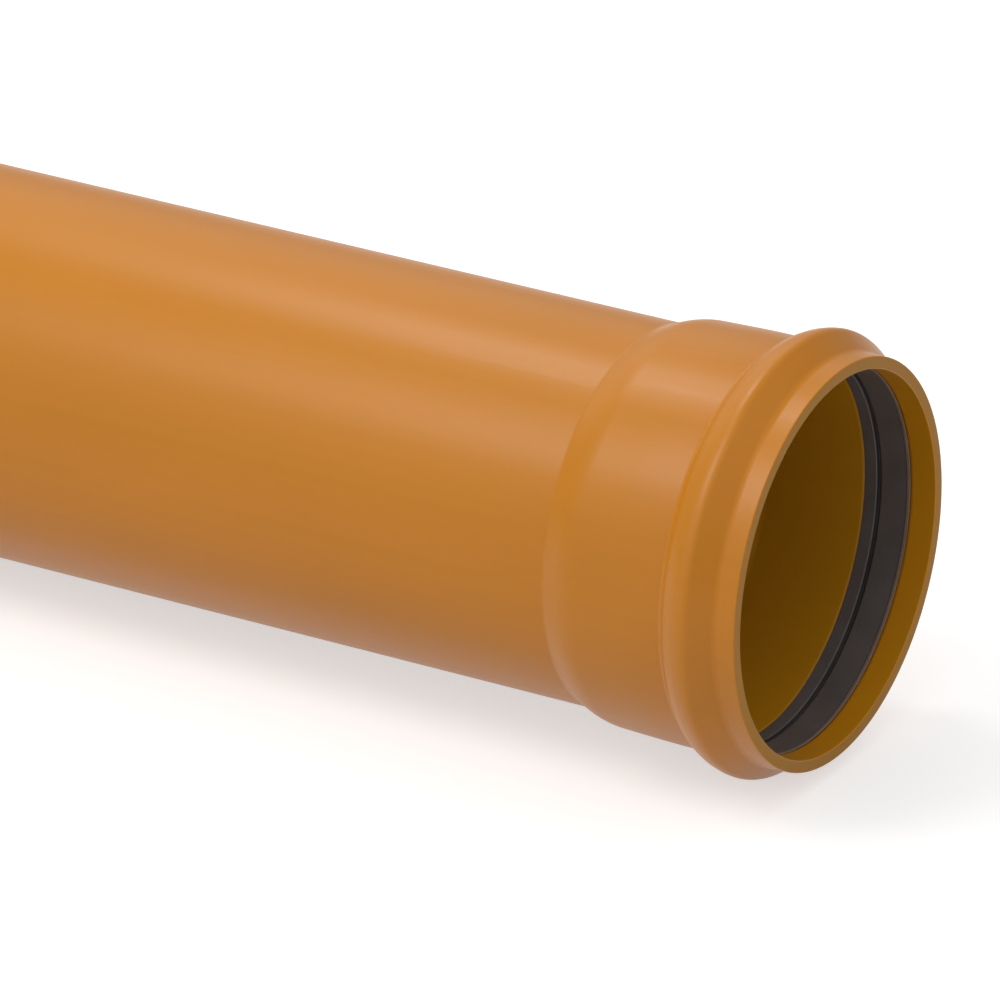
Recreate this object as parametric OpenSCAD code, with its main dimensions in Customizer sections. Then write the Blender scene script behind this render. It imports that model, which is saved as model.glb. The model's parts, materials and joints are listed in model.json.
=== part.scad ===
// Gravity sewer pipe of solid PVC-U, with a blown socket and a rubber lip seal.
// The pipe lies along X. The origin is the centre of the socket's mouth, and +X points out of it.

/* [Barrel] */
// Outside diameter of the barrel and of the spigot
pipe_od = 160; // [158:0.1:160.4]
// Wall thickness, but for the groove's rear wall and the socket's tapered end
wall = 5.3; // [4.7:0.1:5.4]
// Laying length: how far one more pipe takes the line
laying_length = 1000; // [500:100:6000]
// Length of the chamfer on the spigot's end
chamfer_length = 7; // [4:0.5:10]
// Angle of that chamfer to the pipe's axis
chamfer_angle = 15; // [10:1:20]

/* [Socket] */
// Inside diameter of the socket, a sliding fit over a spigot
socket_bore = 160.5; // [160.5:0.1:161.5]
// Length of the socket outside, from the mouth to the shoulder
socket_length = 80; // [70:1:100]
// Where the socket's outside begins to taper towards the shoulder
taper_start = 51; // [46:1:60]
// How much thinner that taper has left the wall where the shoulder begins
socket_taper = 1.0; // [0.6:0.1:1]
// Length of the shoulder, where the socket narrows to the barrel
shoulder_length = 11; // [8:1:20]
// Rounding of the mouth's two edges
mouth_edge = 0.6; // [0.2:0.1:1]

/* [Bead] */
// Plain collar between the mouth and the bead
collar_length = 9.3; // [9:0.1:9.6]
// Length of the bead's front slope
bead_front = 9.7; // [9.5:0.1:10]
// Length of the bead's flat top, before rounding
bead_top = 3.2; // [3:0.1:4]
// Length of the gentle slope behind the top
bead_back = 4.0; // [3.5:0.1:4.5]
// How far the bead falls over that gentle slope
back_drop = 1.15; // [1:0.05:1.3]
// Length of the middle slope, which follows the gentle one
bead_side = 3.9; // [3.5:0.1:4.3]
// How far the bead falls over that middle slope
side_drop = 2.0; // [1.8:0.05:2.2]
// Length of the steep rear slope, down to the socket
bead_rear = 3.6; // [3.2:0.1:4.5]
// Height of the bead above the socket
bead_height = 7.2; // [6.8:0.1:7.6]
// How far the groove's rear wall is set back, because blowing the bead thins the wall there
rear_thinning = 2.2; // [1.5:0.1:2.4]

/* [Seal ring] */
// How far the ring's front edge lies behind the mouth
seal_start = 11.5; // [11.4:0.1:12.5]
// How far the ring's rear edge stays in front of the groove's rear corner
seal_back = 0.5; // [0.3:0.1:1.5]
// How far the ring's two ribs stand proud of the socket's bore, towards the axis
seal_proud = 0.1; // [0:0.05:0.15]
// Width of the ring's front edge
edge_width = 1.6; // [1.4:0.1:2]
// How far the ring's front side leans back from the edge to the groove
edge_lean = 0.9; // [0.5:0.1:1.5]
// Depth of the shallow face behind the front edge
face_depth = 0.4; // [0.2:0.1:0.8]
// Width of the notch between the face and the rear rib
notch_width = 1.8; // [1:0.1:2.4]
// Depth of the notch
notch_depth = 2.2; // [1:0.1:2.6]
// Width of the rear rib
rib_width = 5.6; // [4:0.1:7]
// Gap between the ring and the groove's wall
seal_gap = 0.1; // [0.05:0.05:0.2]

/* [Hidden] */
$fn = 180;
arc_steps = 8;

barrel_r = pipe_od / 2;
bore_r = socket_bore / 2;
socket_r = bore_r + wall;
bead_r = socket_r + bead_height;
total_length = laying_length + socket_length;

// Where the bead's slopes begin and end, and where the shoulder ends, behind the mouth
top_start = collar_length + bead_front;
top_end = top_start + bead_top;
back_end = top_end + bead_back;
side_end = back_end + bead_side;
bead_foot = side_end + bead_rear;
shoulder_end = socket_length + shoulder_length;

// Corners that the inside follows, one wall away, as [distance behind the mouth, radius]
even_corners = [
    [0, socket_r],
    [collar_length, socket_r],
    [top_start, bead_r],
    [top_end, bead_r],
    [back_end, bead_r - back_drop],
    [side_end, bead_r - back_drop - side_drop],
    [bead_foot, socket_r],
    [socket_length, socket_r],
    [shoulder_end, barrel_r],
    [total_length, barrel_r],
];
// Corners of the outside, which are the same but for the socket's taper
outer_corners = [
    for (i = [0 : 6]) even_corners[i],
    [taper_start, socket_r],
    [socket_length, socket_r - socket_taper],
    for (i = [8 : 9]) even_corners[i],
];
// How far each corner is rounded on the outside, and on the inside
outer_rounding = [mouth_edge, 5, 5, 12, 12, 6, 3, 400, 30, 5, 0];
inner_rounding = [mouth_edge, 2, 2, 2, 3, 3, 2, 7, 10, 0];
// How far each corner of the inside lies further back than a wall of even thickness would have it
set_back = [0, 0, 0, 0, 0, rear_thinning, rear_thinning, 0, 0, 0];

function unit(v) = v / norm(v);
function sideways(v) = [v.y, -v.x];
function reversed(list) = [for (i = [len(list) - 1 : -1 : 0]) list[i]];
function without_last(list) = [for (i = [0 : len(list) - 2]) list[i]];

// The corners moved towards the axis by one thickness, so that the two walls stay parallel
function inset(corners, thickness) = [
    for (i = [0 : len(corners) - 1])
        let (here = corners[i])
        let (way_in = unit(i == 0 ? corners[1] - here : here - corners[i - 1]))
        let (way_out = i == len(corners) - 1 ? way_in : unit(corners[i + 1] - here))
        here + thickness * sideways(way_in + way_out) / (1 + way_in * way_out)
];

// The corners of a surface one thickness inside the even corners, with the groove's rear wall set back
function inside(thickness) =
    let (even = inset(even_corners, thickness))
    [for (i = [0 : len(even) - 1]) even[i] + [set_back[i], 0]];

// Points of the arc that rounds corner b between its neighbours a and c.
// It takes up at most half of the shorter side.
function arc_at(a, b, c, radius) =
    let (u = unit(a - b))
    let (v = unit(c - b))
    let (half = acos(u * v) / 2)
    let (reach = min(radius / tan(half), norm(a - b) / 2, norm(c - b) / 2))
    let (r = reach * tan(half))
    let (centre = b + unit(u + v) * r / sin(half))
    let (from = (b + u * reach - centre) / r)
    let (to = (b + v * reach - centre) / r)
    let (swing = 180 - 2 * half)
    [
        for (i = [0 : arc_steps])
            let (k = i / arc_steps)
            centre + r * (sin((1 - k) * swing) * from + sin(k * swing) * to) / sin(swing)
    ];

// A closed outline with each corner rounded by its own radius, or kept sharp at radius 0
function rounded(corners, radii) =
    let (n = len(corners))
    [
        for (i = [0 : n - 1])
            if (radii[i] == 0) corners[i]
            else each arc_at(corners[(i + n - 1) % n], corners[i], corners[(i + 1) % n], radii[i])
    ];

// A closed outline of [distance behind the mouth, radius] points, turned about the X axis
module turned(outline) {
    rotate([0, -90, 0])
        rotate_extrude()
            polygon([for (p = outline) [p.y, p.x]]);
}

// One closed wall: outside from the mouth to the chamfered spigot, and back along the bore
module pipe() {
    chamfer_drop = chamfer_length * tan(chamfer_angle);
    chamfer = [
        [total_length - chamfer_length, barrel_r],
        [total_length, barrel_r - chamfer_drop],
    ];
    corners = concat(without_last(outer_corners), chamfer, reversed(inside(wall)));
    radii = concat(without_last(outer_rounding), [0, 0], reversed(inner_rounding));
    color("#C8781E")
        turned(rounded(corners, radii));
}

// The ring fills the groove, and shows a front edge, a shallow face, a notch and a rear rib
module seal_ring() {
    groove = inside(wall + seal_gap);
    front_slope = unit(groove[2] - groove[1]);
    rear_slope = unit(groove[6] - groove[5]);
    edge_r = bore_r - seal_proud;
    face_r = edge_r + face_depth;
    notch_r = edge_r + notch_depth;
    edge_end = seal_start + edge_width;
    seal_end = groove[6].x - seal_back;
    rib_start = seal_end - rib_width;
    notch_start = rib_start - notch_width;
    // Where the ring leaves the front and the rear slope of the groove
    front_foot = groove[1] + front_slope * (seal_start + edge_lean - groove[1].x) / front_slope.x;
    rear_foot = groove[5] + rear_slope * (seal_end - groove[5].x) / rear_slope.x;
    corners = [
        [seal_start, edge_r],
        front_foot,
        groove[2],
        groove[3],
        groove[4],
        groove[5],
        rear_foot,
        [seal_end, edge_r],
        [rib_start, edge_r],
        [rib_start, notch_r],
        [notch_start, notch_r],
        [notch_start, face_r],
        [edge_end + face_depth, face_r],
        [edge_end, edge_r],
    ];
    rounding = [0.5, 0.5, 2, 2, 3, 3, 0.3, 1.2, 0.8, 0.5, 0.5, 0.5, 0.6, 0.4];
    color("#33343A")
        turned(rounded(corners, rounding));
}

pipe();
seal_ring();
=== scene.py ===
"""A DN 160 PVC sewer pipe with a push-fit socket and its rubber seal, lying on a pale studio floor.

All lengths are in metres, in the CAD model's frame: the pipe lies along X, the origin is the centre of the
socket's mouth, and +X points out of it. Outlines are lists of (distance behind the mouth, radius).
"""

import json
from math import ceil, cos, pi, radians, sin, tan

import bpy
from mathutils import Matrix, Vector


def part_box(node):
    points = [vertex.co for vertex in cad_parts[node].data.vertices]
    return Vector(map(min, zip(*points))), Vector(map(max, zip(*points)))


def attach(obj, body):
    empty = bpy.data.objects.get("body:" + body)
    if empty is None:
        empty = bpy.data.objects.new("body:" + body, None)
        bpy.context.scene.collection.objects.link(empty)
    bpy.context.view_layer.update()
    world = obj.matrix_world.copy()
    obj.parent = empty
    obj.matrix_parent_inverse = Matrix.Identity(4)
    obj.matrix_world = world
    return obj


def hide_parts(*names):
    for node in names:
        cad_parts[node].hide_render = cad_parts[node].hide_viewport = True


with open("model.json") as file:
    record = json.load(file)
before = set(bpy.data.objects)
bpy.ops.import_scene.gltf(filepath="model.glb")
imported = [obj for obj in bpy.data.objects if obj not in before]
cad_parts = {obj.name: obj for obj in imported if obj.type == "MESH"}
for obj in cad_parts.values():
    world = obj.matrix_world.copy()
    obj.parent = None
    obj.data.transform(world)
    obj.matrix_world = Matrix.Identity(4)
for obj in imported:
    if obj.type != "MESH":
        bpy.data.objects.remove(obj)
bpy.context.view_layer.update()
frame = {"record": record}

MM = 0.001

# ---------------------------------------------------------------- sizes

mount_r = {m["name"]: m["dims"]["r_mm"] * MM for m in frame["record"]["mounts"]}
pipe_low, pipe_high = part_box("pipe")
seal_low, seal_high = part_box("seal_ring")

BARREL_R = mount_r["spigot"]
SOCKET_BORE_R = mount_r["socket"]
WALL = BARREL_R - mount_r["spigot_bore"]
SOCKET_R = SOCKET_BORE_R + WALL
BEAD_R = max(pipe_high.y, pipe_high.z)
LENGTH = pipe_high.x - pipe_low.x
SEAL_START = -seal_high.x
SEAL_END = -seal_low.x

# Distances behind the mouth, and how far the bead has fallen from its top there, as in the CAD part
COLLAR_END = 9.3 * MM
BEAD_TOP_START = 19.0 * MM
BEAD_TOP_END = 22.2 * MM
BEAD_BACK_END = 26.2 * MM
BEAD_BACK_DROP = 1.15 * MM
BEAD_SIDE_END = 30.1 * MM
BEAD_SIDE_DROP = 3.15 * MM
BEAD_FOOT = 33.7 * MM
TAPER_START = 51 * MM
SOCKET_END = 80 * MM
SHOULDER_END = 91 * MM
# How far the groove's rear wall is set back, and how much thinner the taper leaves the socket
REAR_THINNING = 2.2 * MM
SOCKET_TAPER = 1.0 * MM
CHAMFER_LENGTH = 7 * MM
CHAMFER_DROP = CHAMFER_LENGTH * tan(radians(15))

# The ring's front corner before rounding, and its sizes as in the CAD part but for the front edge
SEAL_CORNER = 11.5 * MM
SEAL_GAP = 0.1 * MM
SEAL_PROUD = 0.1 * MM
EDGE_WIDTH = 1.7 * MM
EDGE_BEVEL = 0.5 * MM
EDGE_LEAN = 0.9 * MM
FACE_DEPTH = 0.4 * MM
NOTCH_WIDTH = 1.8 * MM
NOTCH_DEPTH = 2.2 * MM
RIB_WIDTH = 5.6 * MM

# Steps of a rounded corner and of a full turn, and the longest straight step of each outline
ARC_STEPS = 12
TURN_STEPS = 256
PIPE_SPAN = 30 * MM
SEAL_SPAN = 3 * MM
# How far from the mouth's plane, or from the bore, a side of the pipe still counts as lying on it
ON_RIM = 0.05 * MM
ON_BORE = 0.1 * MM
# The ring's front edge carries a painted highlight, paler than the face, up to this far behind its corner
PAINTED_HIGHLIGHT_WIDTH = 2.0 * MM
# Its notch is darker, painted shade, from this far below the face and up to this far past the rib's front
PAINTED_SHADE_BELOW_FACE = 0.1 * MM
PAINTED_SHADE_PAST_RIB = 0.6 * MM

# ---------------------------------------------------------------- camera

AZIMUTH = radians(30.8)
ELEVATION = radians(24.3)
# The lens and the sensor's width are in millimetres
LENS = 388.6
SENSOR_WIDTH = 36
DISTANCE = 4.322
# Where the mouth's centre stands in the view, from the view's centre: to the right, and up
MOUTH_RIGHT = 0.1360
MOUTH_UP = -0.0261


def make_camera():
    """A camera at the photo's viewing angle, with the mouth to the right of the view's centre."""
    right = Vector((cos(AZIMUTH), sin(AZIMUTH), 0))
    back = Vector((sin(AZIMUTH) * cos(ELEVATION), -cos(AZIMUTH) * cos(ELEVATION), sin(ELEVATION)))
    up = back.cross(right)
    data = bpy.data.cameras.new("camera")
    data.sensor_width = SENSOR_WIDTH
    data.lens = LENS
    camera = bpy.data.objects.new("camera", data)
    bpy.context.scene.collection.objects.link(camera)
    camera.location = back * DISTANCE - right * MOUTH_RIGHT - up * MOUTH_UP
    camera.rotation_mode = "QUATERNION"
    camera.rotation_quaternion = (-back).to_track_quat("-Z", "Y")
    bpy.context.scene.camera = camera


# ---------------------------------------------------------------- outlines

def arc_at(before, corner, after, radius):
    """Points of the arc that rounds a corner; it takes up at most half of the shorter side."""
    u, v = before - corner, after - corner
    half = u.angle(v) / 2
    reach = min(radius / tan(half), u.length / 2, v.length / 2)
    r = reach * tan(half)
    u.normalize()
    v.normalize()
    centre = corner + (u + v).normalized() * (r / sin(half))
    start = (corner + u * reach - centre) / r
    stop = (corner + v * reach - centre) / r
    swing = pi - 2 * half
    points = []
    for i in range(ARC_STEPS + 1):
        k = i / ARC_STEPS
        way = start * sin((1 - k) * swing) + stop * sin(k * swing)
        points.append(centre + way * (r / sin(swing)))
    return points


def rounded(corners):
    """A closed outline from (distance, radius, rounding) corners."""
    points = [Vector(c[:2]) for c in corners]
    outline = []
    for i, (point, corner) in enumerate(zip(points, corners)):
        if corner[2] == 0:
            outline.append(point)
        else:
            outline += arc_at(points[i - 1], point, points[(i + 1) % len(points)], corner[2])
    return outline


def inset(corners, thickness):
    """The corners of the wall's other side, parallel to the first."""
    points = [Vector(c) for c in corners]
    ways = [(b - a).normalized() for a, b in zip(points, points[1:])]
    ways = [ways[0], *ways, ways[-1]]
    moved = []
    for point, way_in, way_out in zip(points, ways, ways[1:]):
        way = way_in + way_out
        moved.append(point + Vector((way.y, -way.x)) * (thickness / (1 + way_in.dot(way_out))))
    return moved


def spaced(outline, longest):
    """The closed outline with its long straight stretches cut into even steps."""
    points = []
    for here, after in zip(outline, outline[1:] + outline[:1]):
        steps = max(1, ceil((after - here).length / longest))
        points += [here.lerp(after, i / steps) for i in range(steps)]
    return points


# ---------------------------------------------------------------- meshes

def turned(name, outline, materials, slot_of):
    """A piece made by turning a closed outline about X; slot_of() picks the material of each side."""
    angles = [2 * pi * j / TURN_STEPS for j in range(TURN_STEPS)]
    vertices = [(-p.x, p.y * cos(a), p.y * sin(a)) for p in outline for a in angles]
    faces = []
    slots = []
    for i, here in enumerate(outline):
        next_i = (i + 1) % len(outline)
        ring, next_ring = i * TURN_STEPS, next_i * TURN_STEPS
        for j in range(TURN_STEPS):
            next_j = (j + 1) % TURN_STEPS
            faces.append((ring + j, ring + next_j, next_ring + next_j, next_ring + j))
        slots += [slot_of(here, outline[next_i])] * TURN_STEPS
    mesh = bpy.data.meshes.new(name)
    mesh.from_pydata(vertices, [], faces)
    for material in materials:
        mesh.materials.append(material)
    mesh.polygons.foreach_set("material_index", slots)
    mesh.polygons.foreach_set("use_smooth", [True] * len(faces))
    mesh.update()
    piece = bpy.data.objects.new(name, mesh)
    bpy.context.scene.collection.objects.link(piece)
    normals = piece.modifiers.new("weighted_normals", "WEIGHTED_NORMAL")
    normals.keep_sharp = True
    return piece


# Corners that the inside follows, one wall away, as (distance, radius)
EVEN = [
    (0, SOCKET_R),
    (COLLAR_END, SOCKET_R),
    (BEAD_TOP_START, BEAD_R),
    (BEAD_TOP_END, BEAD_R),
    (BEAD_BACK_END, BEAD_R - BEAD_BACK_DROP),
    (BEAD_SIDE_END, BEAD_R - BEAD_SIDE_DROP),
    (BEAD_FOOT, SOCKET_R),
    (SOCKET_END, SOCKET_R),
    (SHOULDER_END, BARREL_R),
    (LENGTH, BARREL_R),
]
# Corners of the outside, where the socket also tapers towards the shoulder
OUTSIDE = [*EVEN[:7], (TAPER_START, SOCKET_R), (SOCKET_END, SOCKET_R - SOCKET_TAPER), *EVEN[8:]]
# How far each corner of the inside lies further back than a wall of even thickness would have it
SET_BACK = [0, 0, 0, 0, 0, REAR_THINNING, REAR_THINNING, 0, 0, 0]


def inside(thickness):
    """The corners one thickness inside the even ones, with the groove's rear wall set back."""
    return [corner + Vector((back, 0)) for corner, back in zip(inset(EVEN, thickness), SET_BACK)]


def make_pipe(outer_material, bore_painted_shade_material, collar_painted_light_material, cut_painted_shade_material):
    """The pipe: its outside from the mouth to the chamfered spigot, and back along the bore."""
    # How far each corner is rounded, in millimetres
    outer_rounding = [0.6, 5, 5, 12, 12, 6, 3, 400, 30, 5]
    inner_rounding = [0.6, 2, 2, 2, 3, 3, 2, 7, 10, 0.3]
    corners = [(*p, r * MM) for p, r in zip(OUTSIDE, outer_rounding)]
    corners.append((LENGTH - CHAMFER_LENGTH, BARREL_R, 2 * MM))
    corners.append((LENGTH, BARREL_R - CHAMFER_DROP, 0.3 * MM))
    corners += reversed([(*p, r * MM) for p, r in zip(inside(WALL), inner_rounding)])
    outline = spaced(rounded(corners), PIPE_SPAN)
    materials = [outer_material, bore_painted_shade_material, collar_painted_light_material, cut_painted_shade_material]
    outer, bore, collar, cut = range(len(materials))

    def slot_of(here, after):
        """The outside runs away from the mouth, and the bore back to it; both ends are cut."""
        distance, radius = (here + after) / 2
        on_rim = distance < ON_RIM
        on_end = distance > LENGTH - CHAMFER_LENGTH and radius > BARREL_R - WALL + ON_BORE
        if on_rim or on_end:
            # The sawn ends take colours darkened as painted shade
            return cut
        if after.x > here.x:
            return outer
        # Inside, the collar near the mouth takes painted light, and the bore behind it painted shade
        return collar if distance < SEAL_START else bore

    return turned("pipe_body", outline, materials, slot_of)


def make_seal(face_painted_sheen_material, edge_painted_highlight_material, notch_painted_shade_material):
    """The ring fills the groove, and shows a front edge, a shallow face, a notch and a rear rib."""
    groove = inside(WALL + SEAL_GAP)
    front_slope = (groove[2] - groove[1]).normalized()
    rear_slope = (groove[6] - groove[5]).normalized()
    edge_r = SOCKET_BORE_R - SEAL_PROUD
    face_r = edge_r + FACE_DEPTH
    notch_r = edge_r + NOTCH_DEPTH
    edge_end = SEAL_CORNER + EDGE_WIDTH
    rib_start = SEAL_END - RIB_WIDTH
    notch_start = rib_start - NOTCH_WIDTH
    # Where the ring leaves the front and the rear slope of the groove
    front_foot = groove[1] + front_slope * ((SEAL_CORNER + EDGE_LEAN - groove[1].x) / front_slope.x)
    rear_foot = groove[5] + rear_slope * ((SEAL_END - groove[5].x) / rear_slope.x)
    corners = [
        (SEAL_CORNER, edge_r, 0.8 * MM),
        (*front_foot, 0.5 * MM),
        (*groove[2], 2 * MM),
        (*groove[3], 2 * MM),
        (*groove[4], 3 * MM),
        (*groove[5], 3 * MM),
        (*rear_foot, 0.3 * MM),
        (SEAL_END, edge_r, 1.2 * MM),
        (rib_start, edge_r, 0.5 * MM),
        (rib_start, notch_r, 0.5 * MM),
        (notch_start, notch_r, 0.5 * MM),
        (notch_start, face_r, 0.5 * MM),
        (edge_end + EDGE_BEVEL, face_r, 0.6 * MM),
        (edge_end, edge_r, 0.5 * MM),
    ]
    materials = [face_painted_sheen_material, edge_painted_highlight_material, notch_painted_shade_material]
    face, edge, notch = range(len(materials))

    def slot_of(here, after):
        """The front edge is paler than the face, a painted highlight, and the notch is darker, painted
        shade.
        """
        distance, radius = (here + after) / 2
        if distance < SEAL_CORNER + PAINTED_HIGHLIGHT_WIDTH:
            return edge
        # The notch and the rib's front wall take painted shade
        in_painted_shade = distance < rib_start + PAINTED_SHADE_PAST_RIB and radius > face_r + PAINTED_SHADE_BELOW_FACE
        return notch if in_painted_shade else face

    return turned("rubber_seal", spaced(rounded(corners), SEAL_SPAN), materials, slot_of)


# ---------------------------------------------------------------- materials

PLASTIC_IOR = 1.5
# Nearly all of a noise's values lie between these two
NOISE_LOW = 0.3
NOISE_HIGH = 0.7
# How much of the PVC's mottling comes from its lengthwise streaks
STREAK_SHARE = 0.35

# Two shades for each surface, which its material mottles between
OUTSIDE_SHADES = (0.562, 0.200, 0.007), (0.602, 0.214, 0.009)
# The bore's colours are a copy of the outside's PVC, made yellower for the cooler light inside the pipe:
# painted shade
BORE_IN_PAINTED_SHADE = (0.565, 0.268, 0.008), (0.595, 0.284, 0.010)
# The collar's colours, inside the mouth up to the seal, are the bore's made lighter and redder, standing in
# for the light that comes in at the mouth: painted light
COLLAR_IN_PAINTED_LIGHT = (0.620, 0.262, 0.006), (0.655, 0.278, 0.008)
# The sawn ends' colours are darker than the outside's, standing in for the shade on the mouth's end face:
# painted shade
CUT_WITH_PAINTED_SHADE = (0.415, 0.180, 0.008), (0.460, 0.200, 0.012)
# The face's colours are lighter than bare black rubber, standing in for the rubber's sheen: painted sheen
SEAL_FACE_WITH_PAINTED_SHEEN = (0.114, 0.108, 0.110), (0.136, 0.128, 0.131)
# The front edge's colours are paler than the face's, standing in for the highlight along the edge: painted
# highlight
SEAL_EDGE_PAINTED_HIGHLIGHT = (0.24, 0.18, 0.14), (0.30, 0.22, 0.175)
# The notch's colours are darker than the face's, standing in for the shade in the notch and damping the
# highlight on the rib's front: painted shade
SEAL_NOTCH_PAINTED_SHADE = (0.070, 0.060, 0.060), (0.090, 0.078, 0.078)


class Nodes:
    """A short way to write a material's node tree."""

    def __init__(self, name):
        self.material = bpy.data.materials.new(name)
        self.material.use_nodes = True
        self.tree = self.material.node_tree
        self.tree.nodes.clear()
        self.output = self.add("ShaderNodeOutputMaterial")

    def add(self, kind, **settings):
        node = self.tree.nodes.new(kind)
        for name, value in settings.items():
            setattr(node, name, value)
        return node

    def link(self, source, target):
        self.tree.links.new(source, target)

    def plastic(self, specular_level, colour, roughness, normal):
        """Gives the material a plastic's or a rubber's shader."""
        shader = self.add("ShaderNodeBsdfPrincipled")
        shader.inputs["IOR"].default_value = PLASTIC_IOR
        shader.inputs["Specular IOR Level"].default_value = specular_level
        self.link(colour, shader.inputs["Base Color"])
        self.link(roughness, shader.inputs["Roughness"])
        self.link(normal, shader.inputs["Normal"])
        self.link(shader.outputs["BSDF"], self.output.inputs["Surface"])

    def math(self, operation, *values):
        node = self.add("ShaderNodeMath", operation=operation)
        for socket, value in zip(node.inputs, values):
            if isinstance(value, (int, float)):
                socket.default_value = value
            else:
                self.link(value, socket)
        return node.outputs[0]

    def position(self, scale):
        """The point on the surface in the CAD frame, in metres, times scale."""
        place = self.add("ShaderNodeTexCoord").outputs["Object"]
        node = self.add("ShaderNodeVectorMath", operation="MULTIPLY")
        self.link(place, node.inputs[0])
        node.inputs[1].default_value = scale
        return node.outputs["Vector"]

    def noise(self, scale, detail=2.0, roughness=0.5):
        """Noise from 0 to 1, with scale cells to a metre along X, Y and Z."""
        node = self.add("ShaderNodeTexNoise", noise_dimensions="3D")
        node.inputs["Scale"].default_value = 1.0
        node.inputs["Detail"].default_value = detail
        node.inputs["Roughness"].default_value = roughness
        self.link(self.position(scale), node.inputs["Vector"])
        return node.outputs["Fac"]

    def between(self, factor, low, high):
        """Takes the middle range of a noise to low..high."""
        node = self.add("ShaderNodeMapRange")
        node.inputs["From Min"].default_value = NOISE_LOW
        node.inputs["From Max"].default_value = NOISE_HIGH
        node.inputs["To Min"].default_value = low
        node.inputs["To Max"].default_value = high
        self.link(factor, node.inputs["Value"])
        return node.outputs["Result"]

    def mix_colour(self, factor, low, high):
        """Takes the middle range of a noise from the colour low to the colour high."""
        node = self.add("ShaderNodeMix", data_type="RGBA")
        self.link(self.between(factor, 0, 1), node.inputs["Factor"])
        # The colour sockets share their names with the other types', so they are found by their places
        low_socket, high_socket, result = node.inputs[6], node.inputs[7], node.outputs[2]
        low_socket.default_value = (*low, 1)
        high_socket.default_value = (*high, 1)
        return result

    def bump(self, height, distance, normal=None):
        """Relief from a noise, where 0 to 1 is that distance in metres, on top of any other relief."""
        node = self.add("ShaderNodeBump")
        node.inputs["Strength"].default_value = 1.0
        node.inputs["Distance"].default_value = distance
        self.link(height, node.inputs["Height"])
        if normal:
            self.link(normal, node.inputs["Normal"])
        return node.outputs["Normal"]

    def seen_directly(self):
        """1 for rays that show the background as itself: camera, glossy and transmission rays."""
        path = self.add("ShaderNodeLightPath").outputs
        mirrored = self.math("MAXIMUM", path["Is Glossy Ray"], path["Is Transmission Ray"])
        return self.math("MAXIMUM", path["Is Camera Ray"], mirrored)


def make_pvc(name, low, high):
    """Extruded PVC: softly mottled between two shades, with faint lengthwise lines and orange peel."""
    n = Nodes(name)
    mottle = n.noise((9, 22, 22), detail=3)
    streaks = n.noise((1.2, 240, 240), detail=3, roughness=0.6)
    shade = n.math("MULTIPLY_ADD", streaks, STREAK_SHARE, n.math("MULTIPLY", mottle, 1 - STREAK_SHARE))
    peel = n.noise((420, 420, 420))
    n.plastic(
        specular_level=0.36,
        colour=n.mix_colour(shade, low, high),
        roughness=n.between(streaks, 0.33, 0.39),
        normal=n.bump(peel, 0.006 * MM, n.bump(streaks, 0.02 * MM)),
    )
    return n.material


def make_cut_pvc(name, low, high):
    """Sawn and chamfered PVC: rougher than the outside, with fine marks round the axis."""
    n = Nodes(name)
    marks = n.noise((9000, 60, 60))
    fuzz = n.noise((1500, 1500, 1500))
    n.plastic(
        specular_level=0.3,
        colour=n.mix_colour(fuzz, low, high),
        roughness=n.between(fuzz, 0.5, 0.62),
        normal=n.bump(fuzz, 0.02 * MM, n.bump(marks, 0.01 * MM)),
    )
    return n.material


def make_rubber(name, low, high, specular_level):
    """Moulded seal rubber: satin and softly clouded, with a fine grain."""
    n = Nodes(name)
    cloud = n.noise((60, 60, 60), detail=3)
    grain = n.noise((2500, 2500, 2500))
    n.plastic(
        specular_level=specular_level,
        colour=n.mix_colour(cloud, low, high),
        roughness=n.between(cloud, 0.42, 0.52),
        normal=n.bump(grain, 0.008 * MM),
    )
    return n.material


# ---------------------------------------------------------------- studio

FLOOR_SIZE = 14.0
FLOOR_COLOUR = (0.65, 0.65, 0.65)
# What the floor glows with, seen directly, so that it comes to white
FLOOR_LIFT = 0.58
WORLD_LIGHT = 0.39
# The lamps aim at the axis, where the socket's straight part ends
AIM = Vector((-SOCKET_END, 0, 0))


def make_floor():
    """A pale floor through the bead's lowest point and the spigot's lower edge, which the pipe rests on."""
    touch_bead = Vector((-(BEAD_TOP_START + BEAD_TOP_END) / 2, 0, -BEAD_R))
    touch_spigot = Vector((-(LENGTH - CHAMFER_LENGTH), 0, -BARREL_R))
    along = (touch_bead - touch_spigot).normalized() * FLOOR_SIZE / 2
    across = Vector((0, FLOOR_SIZE / 2, 0))
    corners = [touch_bead + along * u + across * v for u, v in ((-1, -1), (1, -1), (1, 1), (-1, 1))]
    mesh = bpy.data.meshes.new("floor")
    mesh.from_pydata(corners, [], [(0, 1, 2, 3)])
    floor = bpy.data.objects.new("floor", mesh)
    bpy.context.scene.collection.objects.link(floor)
    n = Nodes("floor")
    diffuse = n.add("ShaderNodeBsdfDiffuse")
    diffuse.inputs["Color"].default_value = (*FLOOR_COLOUR, 1)
    glow = n.add("ShaderNodeEmission")
    n.link(n.math("MULTIPLY", n.seen_directly(), FLOOR_LIFT), glow.inputs["Strength"])
    both = n.add("ShaderNodeAddShader")
    n.link(diffuse.outputs[0], both.inputs[0])
    n.link(glow.outputs[0], both.inputs[1])
    n.link(both.outputs[0], n.output.inputs["Surface"])
    floor.data.materials.append(n.material)


def make_world():
    """Even white light from all round."""
    world = bpy.data.worlds.new("studio")
    world.use_nodes = True
    background = world.node_tree.nodes["Background"]
    background.inputs["Color"].default_value = (1, 1, 1, 1)
    background.inputs["Strength"].default_value = WORLD_LIGHT
    bpy.context.scene.world = world


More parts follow.
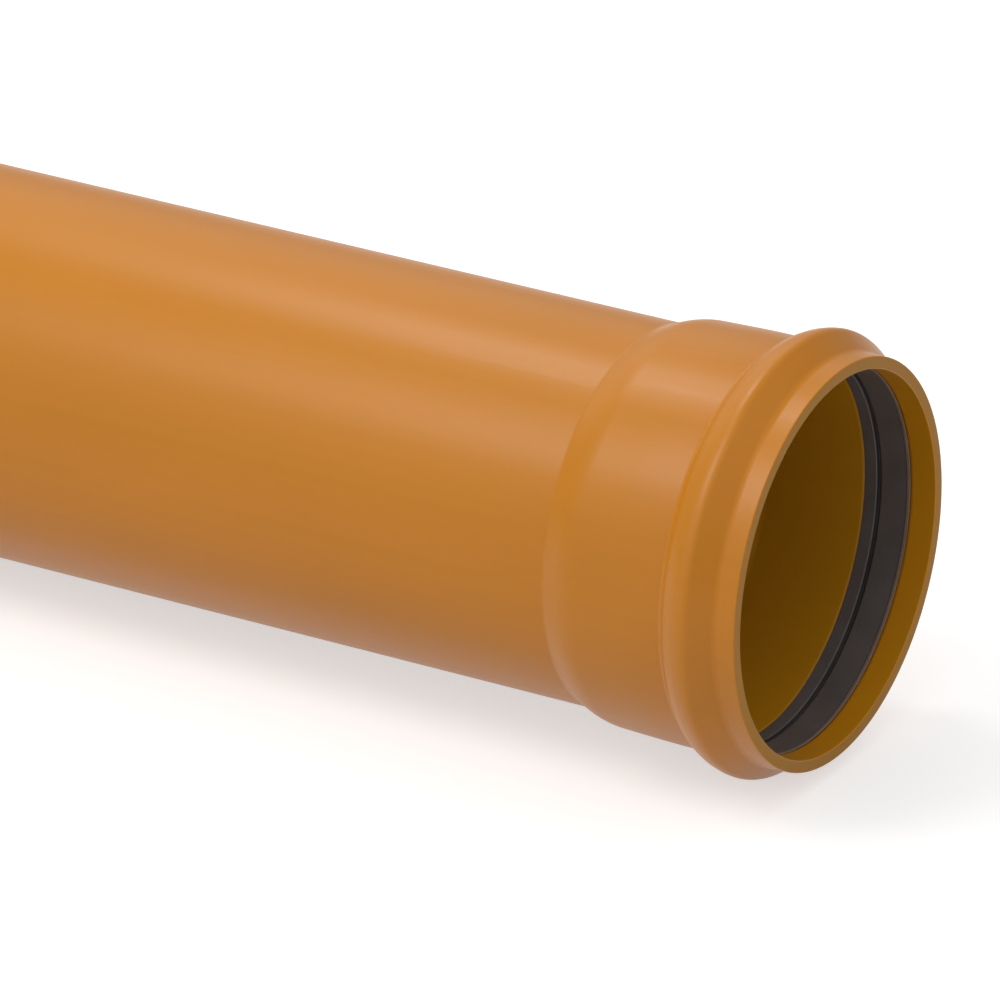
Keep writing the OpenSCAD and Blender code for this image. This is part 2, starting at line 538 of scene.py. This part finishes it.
def softbox(name, toward, distance, size, radiance):
    """An area light that shines on AIM from a distance, with the first side of its size lying level."""
    data = bpy.data.lights.new(name, "AREA")
    data.shape = "RECTANGLE"
    data.size, data.size_y = size
    data.energy = radiance * pi * size[0] * size[1]
    light = bpy.data.objects.new(name, data)
    bpy.context.scene.collection.objects.link(light)
    back = Vector(toward).normalized()
    light.location = AIM + back * distance
    light.rotation_mode = "QUATERNION"
    light.rotation_quaternion = (-back).to_track_quat("-Z", "Y")
    light.visible_camera = False


def make_lights():
    softbox("overhead", toward=(-0.26, -0.71, 0.66), distance=1.7, size=(1.9, 2.8), radiance=0.56)
    softbox("softbox_high", toward=(-0.44, 0.23, 0.87), distance=1.5, size=(0.36, 0.225), radiance=12.7)
    softbox("softbox_front", toward=(-0.35, -0.50, 0.79), distance=1.5, size=(0.33, 0.705), radiance=6.8)
    softbox("softbox_rear", toward=(-0.70, 0.46, 0.55), distance=1.5, size=(1.8, 0.82), radiance=0.56)
    softbox("fill_mouth", toward=(0.70, -0.05, 0.71), distance=1.7, size=(2.2, 2.2), radiance=0.34)


# ---------------------------------------------------------------- build

make_camera()
bpy.context.scene.view_settings.view_transform = "Standard"

outer_pvc = make_pvc("pvc_orange_brown", *OUTSIDE_SHADES)
bore_pvc_in_painted_shade = make_pvc("pvc_bore_painted_shade", *BORE_IN_PAINTED_SHADE)
collar_pvc_in_painted_light = make_pvc("pvc_collar_painted_light", *COLLAR_IN_PAINTED_LIGHT)
cut_pvc_with_painted_shade = make_cut_pvc("pvc_cut_edge_painted_shade", *CUT_WITH_PAINTED_SHADE)
pipe = make_pipe(outer_pvc, bore_pvc_in_painted_shade, collar_pvc_in_painted_light, cut_pvc_with_painted_shade)
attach(pipe, "root")
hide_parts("pipe")

# The seal's face carries painted sheen, its front edge a painted highlight, and its notch painted shade
face_rubber_painted_sheen = make_rubber("seal_rubber", *SEAL_FACE_WITH_PAINTED_SHEEN, specular_level=0.5)
edge_rubber_painted_highlight = make_rubber("seal_rubber_edge_painted_highlight", *SEAL_EDGE_PAINTED_HIGHLIGHT, specular_level=0.3)
notch_rubber_painted_shade = make_rubber("seal_rubber_notch_painted_shade", *SEAL_NOTCH_PAINTED_SHADE, specular_level=0.25)
seal = make_seal(face_rubber_painted_sheen, edge_rubber_painted_highlight, notch_rubber_painted_shade)
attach(seal, "root")
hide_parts("seal_ring")

make_floor()
make_world()
make_lights()
